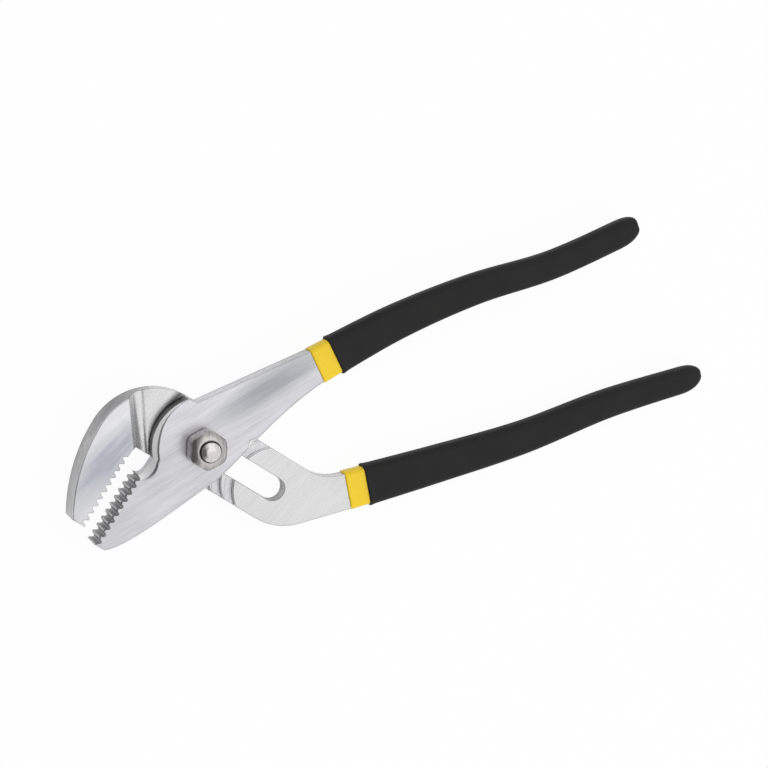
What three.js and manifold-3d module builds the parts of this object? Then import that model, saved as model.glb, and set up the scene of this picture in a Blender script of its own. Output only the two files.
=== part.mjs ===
// Groove-joint water pump pliers, 250 mm long, lying flat with the nut side up.
// Millimetres, +Z up. The origin is on the pivot axis, on the flat outer face of the bolt head.
// +X runs along the tool from the jaws to the handles, and +Y from the rear handle to the front one.
import * as THREE from "three";
import { mergeVertices } from "three/addons/utils/BufferGeometryUtils.js";
import Module from "manifold-3d";

const wasm = await Module();
wasm.setup();

const degrees = THREE.MathUtils.degToRad;
const point = (x, y) => new THREE.Vector2(x, y);

// Lapped steel plates of the two levers
const PLATE_THICKNESS = 5.5;
const LAP_CLEARANCE = 0.1;
const PLATE_WIDTH = 24.2;
const HEAD_RADIUS = 18;

// Pivot bolt and nut
const BOLT_DIAMETER = 8;
const BOLT_CLEARANCE = 0.1;
const BOLT_HEAD_DIAMETER = 15;
const BOLT_HEAD_HEIGHT = 3;
const BOLT_HEAD_CHAMFER = 0.8;
const BOLT_END_CHAMFER = 2;
const BOLT_END_STANDOUT = 2;
const NUT_ACROSS_FLATS = 12.7;
const NUT_CORNER_DIAMETER = 13.8;
const NUT_HEIGHT = 8;
const NUT_FACE_DIAMETER = 11.4;
const NUT_CHAMFER = 0.8;
const NUT_TURN = degrees(10.5);
const SEAT_CLEARANCE = 0.05;

// Slot with its row of grooves in the rear plate, square to the row of teeth
const SLOT_ANGLE = degrees(-50);
const SLOT_CLEARANCE = 0.3;
const GROOVE_COUNT = 7;
const GROOVE_PITCH = 5.4;
const GROOVE_DEPTH = 2;
const GROOVE_SPREAD = degrees(70);
const TONGUE_WIDTH = 2.9;
const TONGUE_HEIGHT = 1.7;
const TONGUE_SPREAD = degrees(38);
const TONGUE_CLEARANCE = 0.2;

// Jaws, measured along the slot and across it from the pivot axis
const TOOTH_COUNT = 10;
const TOOTH_PITCH = 2.8;
const TOOTH_DEPTH = 1.5;
const TOOTH_FLAT = 0.5;
const REAR_TOOTH_LINE = 21.4;
const REAR_TEETH_START = 16;
const REAR_JAW_DEPTH = 14.4;
const REAR_TIP_WIDTH = 5;
const REAR_SHOULDER_RADIUS = 23.6;
const REAR_THROAT_RADIUS = 2;
const FRONT_TOOTH_LINE = 15;
const FRONT_TEETH_START = 19.6;
const FRONT_TIP_WIDTH = 4.1;
const FRONT_THROAT_LINE = 13.3;

// Slope from the thick jaw down to the lapped plate, facing the pivot
const STEP_CLEARANCE = 1;
const STEP_RUN = 5.6;
const REAR_STEP_ANGLE = degrees(218.3);
const FRONT_STEP_ANGLE = degrees(248);

// Front lever between the head and its handle: waist below the bolt, and the dip behind the round head
const WAIST = point(1, -12.8);
const WAIST_JAW_PULL = point(-15, -4);
const WAIST_HANDLE_PULL = point(9, 3.3);
const TIP_PULL = point(7.3, -2.1);
const NECK_PULL = point(-20, -4.9);
const HEAD_DIP = point(2.2, 15.9);

// Rear lever between the slot and its handle
const NECK_OUTER_RADIUS = 22;
const NECK_INNER_RADIUS = 17.5;

// Handle tangs: where the collars start, the centre lines' lengths along X, and their distances from the
// X axis at even steps from collar to tail
const COLLAR_DISTANCE = 47;
const REAR_HANDLE_LENGTH = 144;
const REAR_COLLAR_OFFSET = -35.7;
const REAR_SHOULDER_OFFSET = -38.8;
const REAR_PALM_OFFSET = -41.2;
const REAR_WAIST_OFFSET = -40.8;
const REAR_TAIL_OFFSET = -43.1;
const FRONT_HANDLE_LENGTH = 130;
const FRONT_COLLAR_OFFSET = 13.4;
const FRONT_SHOULDER_OFFSET = 18.4;
const FRONT_PALM_OFFSET = 20.2;
const FRONT_WAIST_OFFSET = 19;
const FRONT_TAIL_OFFSET = 21.6;

// Width of the tangs at collar and tail, and how fast it falls away between them
const REAR_TANG_WIDTH = 13;
const REAR_TAPER_EASE = 1.3;
const FRONT_TANG_WIDTH = 12.3;
const FRONT_TAPER_EASE = 1.9;
const TAIL_WIDTH = 7.5;
const TAIL_NOSE = 4;

// Two-colour dip on the handles: the first dip shows as a collar in front of the second
const UNDERDIP_THICKNESS = 0.6;
const UNDERDIP_ROUNDING = 1.2;
const OVERDIP_THICKNESS = 0.6;
const OVERDIP_ROUNDING = 2.2;
const COLLAR_LENGTH = 7.5;
const COAT_CLEARANCE = 0.05;

// Fineness of round stretches
const ARC_STEP = degrees(5);
const ROUND_SIDES = 40;
const EDGE_STEPS = 3;
const SPINE_STEPS = 14;
const NOSE_STEPS = 8;
const BEZIER_STEPS = 12;

// Cutting bodies reach this far past what they cut, and clear the whole tool
const CUT_MARGIN = 1;
const CUT_REACH = 300;

// Levels along the pivot axis
const BACK_FACE = BOLT_HEAD_HEIGHT + SEAT_CLEARANCE;
const REAR_LAP_FACE = BACK_FACE + PLATE_THICKNESS;
const FRONT_LAP_FACE = REAR_LAP_FACE + LAP_CLEARANCE;
const FRONT_FACE = FRONT_LAP_FACE + PLATE_THICKNESS;
const NUT_SEAT = FRONT_FACE + SEAT_CLEARANCE;
const BOLT_TOP = NUT_SEAT + NUT_HEIGHT + BOLT_END_STANDOUT;

const SLOT_TRAVEL = (GROOVE_COUNT - 1) * GROOVE_PITCH;
const HOLE_RADIUS = BOLT_DIAMETER / 2 + BOLT_CLEARANCE;
const SLOT_RADIUS = BOLT_DIAMETER / 2 + SLOT_CLEARANCE;
const TONGUE_OUTER = HEAD_RADIUS - SEAT_CLEARANCE;
const TONGUE_INNER = HEAD_RADIUS - TONGUE_WIDTH;
const STEP_RADIUS = HEAD_RADIUS + STEP_CLEARANCE;
const TEETH_LENGTH = TOOTH_COUNT * TOOTH_PITCH;

// Centre line of a handle through points at even steps along X
function handleSpine(length, offsets) {
  const step = length / (offsets.length - 1);
  return new THREE.SplineCurve(offsets.map((offset, i) => point(COLLAR_DISTANCE + i * step, offset)));
}

const rearHandle = {
  spine: handleSpine(REAR_HANDLE_LENGTH, [
    REAR_COLLAR_OFFSET,
    REAR_SHOULDER_OFFSET,
    REAR_PALM_OFFSET,
    REAR_WAIST_OFFSET,
    REAR_TAIL_OFFSET,
  ]),
  tangWidth: REAR_TANG_WIDTH,
  taperEase: REAR_TAPER_EASE,
  bottom: BACK_FACE,
};
const frontHandle = {
  spine: handleSpine(FRONT_HANDLE_LENGTH, [
    FRONT_COLLAR_OFFSET,
    FRONT_SHOULDER_OFFSET,
    FRONT_PALM_OFFSET,
    FRONT_WAIST_OFFSET,
    FRONT_TAIL_OFFSET,
  ]),
  tangWidth: FRONT_TANG_WIDTH,
  taperEase: FRONT_TAPER_EASE,
  bottom: FRONT_LAP_FACE,
};

// A point given along the slot and across it, as a point of the tool's frame
function fromSlot(along, across) {
  return point(along, across).rotateAround(point(0, 0), SLOT_ANGLE);
}

// Points of an arc about a centre, from one angle to another
function arc(centre, radius, from, to) {
  const steps = Math.max(2, Math.ceil(Math.abs(to - from) / ARC_STEP));
  return Array.from({ length: steps + 1 }, (_, i) => {
    const angle = from + ((to - from) * i) / steps;
    return point(centre.x + radius * Math.cos(angle), centre.y + radius * Math.sin(angle));
  });
}

// Where the line through a along aWay meets the line through b along bWay
function crossing(a, aWay, b, bWay) {
  const reach = b.clone().sub(a).cross(bWay) / aWay.cross(bWay);
  return a.clone().addScaledVector(aWay, reach);
}

// Rounds the corner between two straight edges, given by the unit ways into it and out of it
function roundedCorner(corner, wayIn, wayOut, radius) {
  const turn = Math.atan2(wayIn.cross(wayOut), wayIn.dot(wayOut));
  const side = Math.sign(turn);
  const setback = radius * Math.tan(Math.abs(turn) / 2);
  const start = corner.clone().addScaledVector(wayIn, -setback);
  const centre = start.clone().add(point(-wayIn.y, wayIn.x).multiplyScalar(side * radius));
  const from = Math.atan2(start.y - centre.y, start.x - centre.x);
  return arc(centre, radius, from, from + turn);
}

function bezier(a, aPull, bPull, b) {
  return new THREE.CubicBezierCurve(a, aPull, bPull, b).getPoints(BEZIER_STEPS);
}

// One row of teeth across the slot's direction, from the tip of the jaw to its throat.
// rootSide is the way from the tooth tips to their roots along the slot.
function toothRow(line, start, rootSide) {
  const root = line + rootSide * TOOTH_DEPTH;
  const flank = TOOTH_PITCH / 2 - TOOTH_FLAT;
  const tip = -(start + TEETH_LENGTH);
  return Array.from({ length: TOOTH_COUNT }, (_, i) => {
    const at = tip + i * TOOTH_PITCH;
    return [
      fromSlot(line, at),
      fromSlot(line, at + TOOTH_FLAT),
      fromSlot(root, at + TOOTH_FLAT + flank),
      fromSlot(root, at + TOOTH_PITCH - flank),
    ];
  }).flat();
}

// Outline of a handle, grown by a coat: along its lower edge, round the tail and back along the upper edge
function handleOutline({ spine, tangWidth, taperEase }, grow, from) {
  const stations = Array.from({ length: SPINE_STEPS + 1 }, (_, i) => from + ((1 - from) * i) / SPINE_STEPS);
  const edge = (u, side) => {
    const way = spine.getTangentAt(u);
    const width = TAIL_WIDTH + (tangWidth - TAIL_WIDTH) * (1 - u) ** taperEase;
    return spine.getPointAt(u).addScaledVector(point(-way.y, way.x), side * (width / 2 + grow));
  };
  const end = spine.getPointAt(1);
  const endWay = spine.getTangentAt(1);
  const nose = Array.from({ length: NOSE_STEPS - 1 }, (_, i) => {
    const angle = (Math.PI * (i + 1)) / NOSE_STEPS - Math.PI / 2;
    return end.clone()
      .addScaledVector(endWay, Math.cos(angle) * (TAIL_NOSE + grow))
      .addScaledVector(point(-endWay.y, endWay.x), Math.sin(angle) * (TAIL_WIDTH / 2 + grow));
  });
  return [...stations.map((u) => edge(u, -1)), ...nose, ...stations.reverse().map((u) => edge(u, 1))];
}

function rearOutline() {
  const half = PLATE_WIDTH / 2;
  const along = fromSlot(1, 0);
  const across = fromSlot(0, 1);
  const handle = handleOutline(rearHandle, 0, 0);
  const spineWay = rearHandle.spine.getTangentAt(0);
  const lowerCorner = crossing(fromSlot(0, -half), along, handle[0], spineWay);
  const upperCorner = crossing(fromSlot(0, half), along, handle.at(-1), spineWay);
  const backwards = (way) => way.clone().negate();

  const jawBack = -(REAR_TOOTH_LINE + REAR_JAW_DEPTH);
  const shoulderSide = half - REAR_SHOULDER_RADIUS;
  const shoulder = arc(point(jawBack + REAR_SHOULDER_RADIUS, shoulderSide), REAR_SHOULDER_RADIUS,
    Math.PI / 2, Math.PI);
  const tip = point(-REAR_TOOTH_LINE - REAR_TIP_WIDTH, -(REAR_TEETH_START + TEETH_LENGTH));
  const backRun = tip.x - jawBack;
  const backRise = shoulderSide - tip.y;
  const backRadius = (backRun ** 2 + backRise ** 2) / (2 * backRun);
  const back = arc(point(jawBack + backRadius, shoulderSide), backRadius,
    Math.PI, Math.PI + Math.asin(backRise / backRadius));
  const jaw = [...shoulder, ...back.slice(1)].map((p) => fromSlot(p.x, p.y));

  return [
    ...toothRow(-REAR_TOOTH_LINE, REAR_TEETH_START, -1),
    fromSlot(-REAR_TOOTH_LINE, -REAR_TEETH_START),
    ...roundedCorner(fromSlot(-REAR_TOOTH_LINE, -half), across, along, REAR_THROAT_RADIUS),
    ...roundedCorner(lowerCorner, along, spineWay, NECK_OUTER_RADIUS),
    ...handle,
    ...roundedCorner(upperCorner, backwards(spineWay), backwards(along), NECK_INNER_RADIUS),
    ...jaw,
  ];
}

function frontOutline() {
  const handle = handleOutline(frontHandle, 0, 0);
  const tip = fromSlot(-FRONT_TOOTH_LINE + FRONT_TIP_WIDTH, -(FRONT_TEETH_START + TEETH_LENGTH));
  const jawEdge = bezier(tip, tip.clone().add(TIP_PULL), WAIST.clone().add(WAIST_JAW_PULL), WAIST);
  const neck = handle[0];
  const neckEdge = bezier(WAIST, WAIST.clone().add(WAIST_HANDLE_PULL), neck.clone().add(NECK_PULL), neck);
  const throat = fromSlot(-FRONT_THROAT_LINE, -Math.sqrt(HEAD_RADIUS ** 2 - FRONT_THROAT_LINE ** 2));
  const head = arc(point(0, 0), HEAD_RADIUS, Math.PI / 2, Math.atan2(throat.y, throat.x));
  const throatEnd = fromSlot(-FRONT_THROAT_LINE, -FRONT_TEETH_START + TOOTH_FLAT);
  return [
    ...jawEdge,
    ...neckEdge.slice(1, -1),
    ...handle,
    HEAD_DIP,
    ...head,
    throatEnd,
    fromSlot(-FRONT_TOOTH_LINE, -FRONT_TEETH_START),
    ...toothRow(-FRONT_TOOTH_LINE, FRONT_TEETH_START, 1).reverse(),
  ];
}

// Closed geometry to a solid that can be joined and cut, and back
function toSolid(geometry) {
  const bare = geometry.clone();
  bare.deleteAttribute("normal");
  bare.deleteAttribute("uv");
  const merged = mergeVertices(bare);
  return new wasm.Manifold(new wasm.Mesh({
    numProp: 3,
    vertProperties: new Float32Array(merged.attributes.position.array),
    triVerts: new Uint32Array(merged.index.array),
  }));
}

function toGeometry(solid) {
  const mesh = solid.getMesh();
  const geometry = new THREE.BufferGeometry();
  geometry.setAttribute("position", new THREE.BufferAttribute(mesh.vertProperties, mesh.numProp));
  geometry.setIndex(new THREE.BufferAttribute(mesh.triVerts, 1));
  geometry.computeVertexNormals();
  return geometry;
}

// Flat outline raised from one level to another
function slab(outline, bottom, top) {
  const shape = new THREE.Shape(outline);
  const geometry = new THREE.ExtrudeGeometry(shape, { depth: top - bottom, bevelEnabled: false });
  return toSolid(geometry.translate(0, 0, bottom));
}

// The same with its long edges rounded
function roundedSlab(outline, bottom, top, rounding) {
  const geometry = new THREE.ExtrudeGeometry(new THREE.Shape(outline), {
    depth: top - bottom - 2 * rounding,
    bevelSize: rounding,
    bevelThickness: rounding,
    bevelOffset: -rounding,
    bevelSegments: EDGE_STEPS,
  });
  return toSolid(geometry.translate(0, 0, bottom + rounding));
}

// Part of a flat ring about a point on the slot's line, spread evenly about the way to the jaws
function ringSector(along, inner, outer, spread, bottom, top) {
  const centre = fromSlot(along, 0);
  const middle = SLOT_ANGLE + Math.PI;
  const outside = arc(centre, outer, middle - spread, middle + spread);
  const inside = arc(centre, inner, middle + spread, middle - spread);
  return slab([...outside, ...inside], bottom, top);
}

// Disc or stepped pin about the Z axis, from its profile of radius and height
function turned(profile) {
  const geometry = new THREE.LatheGeometry(profile.map(([r, z]) => point(r, z)), ROUND_SIDES);
  return toSolid(geometry.rotateX(Math.PI / 2));
}

function pin(radius, bottom, top) {
  return turned([[0, bottom], [radius, bottom], [radius, top], [0, top]]);
}

// Everything on the pivot's side of a jaw's slope, from the lapped face outwards past the outer face
function stepCutter(angle, lapFace, outerFace) {
  const outwards = Math.sign(outerFace - lapFace);
  const far = outerFace + outwards * CUT_MARGIN;
  const farRun = (STEP_RUN * (far - lapFace)) / (outerFace - lapFace);
  const profile = [point(0, lapFace), point(CUT_REACH, lapFace), point(CUT_REACH, far), point(-farRun, far)];
  const shape = new THREE.Shape(profile);
  const geometry = new THREE.ExtrudeGeometry(shape, { depth: 2 * CUT_REACH, bevelEnabled: false });
  geometry.translate(0, 0, -CUT_REACH);
  const toJaw = new THREE.Vector3(Math.cos(SLOT_ANGLE + angle), Math.sin(SLOT_ANGLE + angle), 0);
  const toPivot = toJaw.clone().negate();
  const up = new THREE.Vector3(0, 0, 1);
  const placement = new THREE.Matrix4().makeBasis(toPivot, up, toPivot.clone().cross(up));
  placement.setPosition(toJaw.multiplyScalar(STEP_RADIUS));
  return toSolid(geometry.applyMatrix4(placement));
}

// Rear lever: thick upper jaw, lapped plate with slot and grooves, and the tang of the rear handle
function rearLever() {
  const slotEnds = [
    ...arc(point(SLOT_TRAVEL, 0), SLOT_RADIUS, -Math.PI / 2, Math.PI / 2),
    ...arc(point(0, 0), SLOT_RADIUS, Math.PI / 2, (3 * Math.PI) / 2),
  ];
  const slotOutline = slotEnds.map((p) => fromSlot(p.x, p.y));
  const slot = slab(slotOutline, BACK_FACE - CUT_MARGIN, FRONT_FACE + CUT_MARGIN);
  let lever = slab(rearOutline(), BACK_FACE, FRONT_FACE)
    .subtract(stepCutter(REAR_STEP_ANGLE, REAR_LAP_FACE, FRONT_FACE))
    .subtract(slot);
  const inner = TONGUE_INNER - TONGUE_CLEARANCE;
  const outer = HEAD_RADIUS + TONGUE_CLEARANCE;
  const floor = REAR_LAP_FACE - GROOVE_DEPTH;
  for (let i = 0; i < GROOVE_COUNT; i += 1) {
    const along = i * GROOVE_PITCH;
    const groove = ringSector(along, inner, outer, GROOVE_SPREAD, floor, REAR_LAP_FACE + CUT_MARGIN);
    lever = lever.subtract(groove);
  }
  return toGeometry(lever);
}

// Front lever: thick lower jaw, round head with the tongue on its back, and the tang of the front handle
function frontLever() {
  const tongue = ringSector(0, TONGUE_INNER, TONGUE_OUTER, TONGUE_SPREAD,
    FRONT_LAP_FACE - LAP_CLEARANCE - TONGUE_HEIGHT, FRONT_LAP_FACE + CUT_MARGIN);
  const lever = slab(frontOutline(), BACK_FACE, FRONT_FACE)
    .subtract(stepCutter(FRONT_STEP_ANGLE, FRONT_LAP_FACE, BACK_FACE))
    .add(tongue)
    .subtract(pin(HOLE_RADIUS, BACK_FACE, FRONT_FACE + CUT_MARGIN));
  return toGeometry(lever);
}

// Pivot bolt: low round head on the back, plain shank through slot and head, chamfered end past the nut
function pivotBolt() {
  const headRadius = BOLT_HEAD_DIAMETER / 2;
  const radius = BOLT_DIAMETER / 2;
  return toGeometry(turned([
    [0, 0],
    [headRadius - BOLT_HEAD_CHAMFER, 0],
    [headRadius, BOLT_HEAD_CHAMFER],
    [headRadius, BOLT_HEAD_HEIGHT],
    [radius, BOLT_HEAD_HEIGHT],
    [radius, BOLT_TOP - BOLT_END_CHAMFER],
    [radius - BOLT_END_CHAMFER, BOLT_TOP],
    [0, BOLT_TOP],
  ]));
}

// Hexagon nut with turned corners, chamfered on both faces
function pivotNut() {
  const sides = 6;
  const reach = NUT_ACROSS_FLATS / 2 / Math.cos(Math.PI / sides);
  const corners = Array.from({ length: sides }, (_, i) =>
    point(reach, 0).rotateAround(point(0, 0), (2 * Math.PI * i) / sides));
  const turnedBlank = turned([
    [0, 0],
    [NUT_FACE_DIAMETER / 2, 0],
    [NUT_CORNER_DIAMETER / 2, NUT_CHAMFER],
    [NUT_CORNER_DIAMETER / 2, NUT_HEIGHT - NUT_CHAMFER],
    [NUT_FACE_DIAMETER / 2, NUT_HEIGHT],
    [0, NUT_HEIGHT],
  ]);
  const hole = pin(HOLE_RADIUS, -CUT_MARGIN, NUT_HEIGHT + CUT_MARGIN);
  return toGeometry(slab(corners, 0, NUT_HEIGHT).intersect(turnedBlank).subtract(hole));
}

// Solid of a coat's outer face, or of the hollow inside it, a distance off the tang
function coatBody(handle, grow, rounding, from) {
  const outline = handleOutline(handle, grow, from);
  return roundedSlab(outline, handle.bottom - grow, handle.bottom + PLATE_THICKNESS + grow, rounding);
}

// First dip, straight onto the steel
function underdip(handle) {
  const outer = coatBody(handle, COAT_CLEARANCE + UNDERDIP_THICKNESS, UNDERDIP_ROUNDING, 0);
  const tangOutline = handleOutline(handle, COAT_CLEARANCE, 0);
  const way = handle.spine.getTangentAt(0).multiplyScalar(-CUT_MARGIN);
  const mouth = [tangOutline.at(-1).clone().add(way), tangOutline[0].clone().add(way)];
  const hollow = slab([...tangOutline, ...mouth], handle.bottom - COAT_CLEARANCE,
    handle.bottom + PLATE_THICKNESS + COAT_CLEARANCE);
  return toGeometry(outer.subtract(hollow));
}

// Second dip over the first, from the end of the collar to past the tail
function overdip(handle) {
  const inside = 2 * COAT_CLEARANCE + UNDERDIP_THICKNESS;
  const start = COLLAR_LENGTH / handle.spine.getLength();
  const outer = coatBody(handle, inside + OVERDIP_THICKNESS, OVERDIP_ROUNDING, start);
  const hollow = coatBody(handle, inside, UNDERDIP_ROUNDING + COAT_CLEARANCE, 0);
  return toGeometry(outer.subtract(hollow));
}

const brushedSteel = new THREE.MeshStandardMaterial({ color: 0xc9cbcd, roughness: 0.35, metalness: 1 });
const fastenerSteel = new THREE.MeshStandardMaterial({ color: 0x9b9893, roughness: 0.25, metalness: 1 });
const yellowDip = new THREE.MeshStandardMaterial({ color: 0xf2cb2a, roughness: 0.35, metalness: 0 });
const blackDip = new THREE.MeshStandardMaterial({ color: 0x2c2c2b, roughness: 0.6, metalness: 0 });

function piece(name, geometry, material) {
  const mesh = new THREE.Mesh(geometry, material);
  mesh.name = name;
  return mesh;
}

const rear = new THREE.Group();
rear.add(
  piece("rear_lever", rearLever(), brushedSteel),
  piece("rear_yellow_underdip", underdip(rearHandle), yellowDip),
  piece("rear_black_grip", overdip(rearHandle), blackDip),
);

const front = new THREE.Group();
front.add(
  piece("front_lever", frontLever(), brushedSteel),
  piece("front_yellow_underdip", underdip(frontHandle), yellowDip),
  piece("front_black_grip", overdip(frontHandle), blackDip),
);

const bolt = piece("pivot_bolt", pivotBolt(), fastenerSteel);
const nut = piece("pivot_nut", pivotNut(), fastenerSteel);
nut.position.z = NUT_SEAT;
nut.rotation.z = NUT_TURN;

const pliers = new THREE.Group();
pliers.add(rear, bolt, front, nut);
export default pliers;
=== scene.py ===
import math
import bmesh
import bpy
from mathutils import Matrix, Vector
from mathutils.geometry import interpolate_bezier


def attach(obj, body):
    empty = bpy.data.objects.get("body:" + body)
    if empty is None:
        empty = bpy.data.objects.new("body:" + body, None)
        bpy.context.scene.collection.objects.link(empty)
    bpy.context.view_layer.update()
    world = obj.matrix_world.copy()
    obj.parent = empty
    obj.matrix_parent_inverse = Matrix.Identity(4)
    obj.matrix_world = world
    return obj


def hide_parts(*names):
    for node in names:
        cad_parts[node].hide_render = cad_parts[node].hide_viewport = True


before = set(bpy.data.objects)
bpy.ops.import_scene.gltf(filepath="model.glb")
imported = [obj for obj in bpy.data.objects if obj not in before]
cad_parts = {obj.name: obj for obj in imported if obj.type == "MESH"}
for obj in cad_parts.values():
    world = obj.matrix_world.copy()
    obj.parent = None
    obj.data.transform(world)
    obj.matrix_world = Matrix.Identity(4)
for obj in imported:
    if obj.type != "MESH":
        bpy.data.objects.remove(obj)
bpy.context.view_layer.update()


# Rear lever: one steel forging with the thick upper jaw, the thin slotted plate and the lower handle's tang.
# Its faces are ground and brushed along the tool. Teeth, slot and locating grooves are milled in afterwards,
# and the walls of the teeth and the slot keep a rougher skin than the ground faces, painted darker as shade.
# The jaw's outer wall is painted darker as shade too.
MM = 0.001
BACK_FACE = 3.05
REAR_LAP_FACE = 8.55
FRONT_LAP_FACE = 8.65
FRONT_FACE = 14.15
EDGE_ROUNDING = 0.45
EDGE_STEPS = 4
EDGE_WEAR = 0.6
# How dark the painted shade along edges and creases gets
EDGE_SHADE = 0.6
ARC_STEP = math.radians(3)
SHARP_ANGLE = math.radians(32)
HEAD_RADIUS = 18
SLOT_TURN = math.radians(-50)
SLOT_RADIUS = 4.3
SLOT_TRAVEL = 32.4
GROOVE_COUNT = 7
GROOVE_PITCH = 5.4
GROOVE_DEPTH = 2
GROOVE_INNER = 14.9
GROOVE_OUTER = 18.2
GROOVE_SPREAD = math.radians(70)
PLATE_HALF = 12.1
TOOTH_COUNT = 10
TOOTH_PITCH = 2.8
TOOTH_DEPTH = 1.5
TOOTH_FLAT = 0.5
ROOT_FLAT = 0.6
ROOT_FILLET = 0.35
ROOT_CHAMFER = 0.1
TEETH_LENGTH = TOOTH_COUNT * TOOTH_PITCH
REAR_TOOTH_LINE = -21.4
REAR_TEETH_START = 16
REAR_JAW_DEPTH = 14.4
REAR_TIP_WIDTH = 5
REAR_SHOULDER_RADIUS = 23.6
REAR_THROAT_RADIUS = 2
LEDGE_RADIUS = 19
LEDGE_RUN = 5.6
LEDGE_STEEPENING = 3.0
LEDGE_STEPS = 12
LEDGE_RUN_ON = 0.4
MILL_LINE_PLACE = 0.3
MILL_LINE_HALF = 0.5
MILL_LINE_DEPTH = 0.25
REAR_LEDGE_TURN = math.radians(218.3)
NECK_OUTER_RADIUS = 22
NECK_INNER_RADIUS = 17.5
COLLAR_DISTANCE = 47
REAR_HANDLE_LENGTH = 144
REAR_HANDLE_OFFSETS = (-35.7, -38.8, -41.2, -40.8, -43.1)
REAR_TANG_WIDTH = 13
REAR_TAPER_EASE = 1.3
TAIL_WIDTH = 7.5
TAIL_NOSE = 4
TANG_SETBACK = 6
TANG_STEPS = 24
TANG_NOSE_STEPS = 12
SPINE_STEPS = 16
CUT_MARGIN = 1
CUT_REACH = 300
# Painted shade: how high the darkened band at the foot of the side walls reaches, and its dark colour
FOOT_SHADE_TOP = 1.2
FOOT_SHADE_FULL = 0.5
PAINTED_SHADE_COLOUR = (0.06, 0.06, 0.06)
# Sizes of the steel's patterns along, across and through the brushing, in metres
HAIRLINE_SIZE = (0.014, 0.00032, 0.002)
STREAK_SIZE = (0.022, 0.0016, 0.004)
CLOUD_SIZE = (0.034, 0.014, 0.030)
STREAK_SHARE = 0.45
HAIRLINE_SHARE = 0.42
PATCH_STREAKS = 2.6
MOST_LEVEL_WALL = 0.8


def flat(x, y):
    return Vector((x, y))


def turn(point, angle):
    return Matrix.Rotation(angle, 2) @ point


def slot_point(along, across):
    return turn(flat(along, across), SLOT_TURN)


def arc(centre, radius, start, end):
    steps = max(2, math.ceil(abs(end - start) / ARC_STEP))
    angles = [start + (end - start) * i / steps for i in range(steps + 1)]
    return [centre + radius * flat(math.cos(a), math.sin(a)) for a in angles]


def crossing(a, a_way, b, b_way):
    return a + a_way * ((b - a).cross(b_way) / a_way.cross(b_way))


def round_corner(corner, way_in, way_out, radius):
    bend = math.atan2(way_in.cross(way_out), way_in.dot(way_out))
    start = corner - way_in * (radius * math.tan(abs(bend) / 2))
    centre = start + flat(-way_in.y, way_in.x) * math.copysign(radius, bend)
    first = math.atan2(start.y - centre.y, start.x - centre.x)
    return arc(centre, radius, first, first + bend)


def handle_spine(length, offsets):
    """Smooth centre line through points at even steps along X, as a fine polyline."""
    step = length / (len(offsets) - 1)
    knots = [flat(COLLAR_DISTANCE + i * step, offset) for i, offset in enumerate(offsets)]
    ends = [knots[0], *knots, knots[-1]]
    line = []
    for before, a, b, after in zip(ends, ends[1:], ends[2:], ends[3:]):
        curve = interpolate_bezier(a, a + (b - before) / 6, b - (after - a) / 6, b, SPINE_STEPS)
        line += [p.copy() for p in curve[:-1]]
    return line + [knots[-1]]


def spine_length(line):
    return sum((b - a).length for a, b in zip(line, line[1:]))


def walk(line, distance):
    """Point and direction at a distance along a polyline."""
    for a, b in zip(line, line[1:]):
        run = (b - a).length
        if distance <= run:
            break
        distance -= run
    way = (b - a).normalized()
    return a + way * min(distance, run), way


def tang_outline(line, tang_width, taper_ease):
    """Lower edge, round tail and upper edge of a handle's steel tang, which ends short of the dips' tail."""
    total = spine_length(line)
    lower, upper = [], []
    for i in range(TANG_STEPS + 1):
        share = i / TANG_STEPS
        middle, way = walk(line, (total - TANG_SETBACK) * share)
        half = (TAIL_WIDTH + (tang_width - TAIL_WIDTH) * (1 - share) ** taper_ease) / 2
        side = flat(-way.y, way.x) * half
        lower.append(middle - side)
        upper.append(middle + side)
    nose = []
    for i in range(1, TANG_NOSE_STEPS):
        angle = math.pi * i / TANG_NOSE_STEPS - math.pi / 2
        nose.append(middle + way * (TAIL_NOSE * math.cos(angle)) + side * math.sin(angle))
    return lower + nose + upper[::-1]


def rear_outline():
    along, across = slot_point(1, 0), slot_point(0, 1)
    tang = tang_outline(rear_spine, REAR_TANG_WIDTH, REAR_TAPER_EASE)
    _, spine_way = walk(rear_spine, 0)
    lower_corner = crossing(slot_point(0, -PLATE_HALF), along, tang[0], spine_way)
    upper_corner = crossing(slot_point(0, PLATE_HALF), along, tang[-1], spine_way)
    jaw_back = REAR_TOOTH_LINE - REAR_JAW_DEPTH
    shoulder = PLATE_HALF - REAR_SHOULDER_RADIUS
    tip = flat(REAR_TOOTH_LINE - REAR_TIP_WIDTH, -(REAR_TEETH_START + TEETH_LENGTH))
    run, rise = tip.x - jaw_back, shoulder - tip.y
    back_radius = (run ** 2 + rise ** 2) / (2 * run)
    jaw = arc(flat(jaw_back + REAR_SHOULDER_RADIUS, shoulder), REAR_SHOULDER_RADIUS, math.pi / 2, math.pi)
    jaw += arc(flat(jaw_back + back_radius, shoulder), back_radius,
               math.pi, math.pi + math.asin(rise / back_radius))[1:]
    return [
        slot_point(REAR_TOOTH_LINE, tip.y),
        *round_corner(slot_point(REAR_TOOTH_LINE, -PLATE_HALF), across, along, REAR_THROAT_RADIUS),
        *round_corner(lower_corner, along, spine_way, NECK_OUTER_RADIUS),
        *tang,
        *round_corner(upper_corner, -spine_way, -along, NECK_INNER_RADIUS),
        *[slot_point(p.x, p.y) for p in jaw],
    ]


def on_jaw_back(place):
    return turn(place, -SLOT_TURN).x < REAR_TOOTH_LINE - REAR_TIP_WIDTH


def new_piece(name, mesh, *finishes):
    piece = bpy.data.objects.new(name, mesh)
    bpy.context.scene.collection.objects.link(piece)
    for finish in finishes:
        mesh.materials.append(finish)
    return piece


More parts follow.
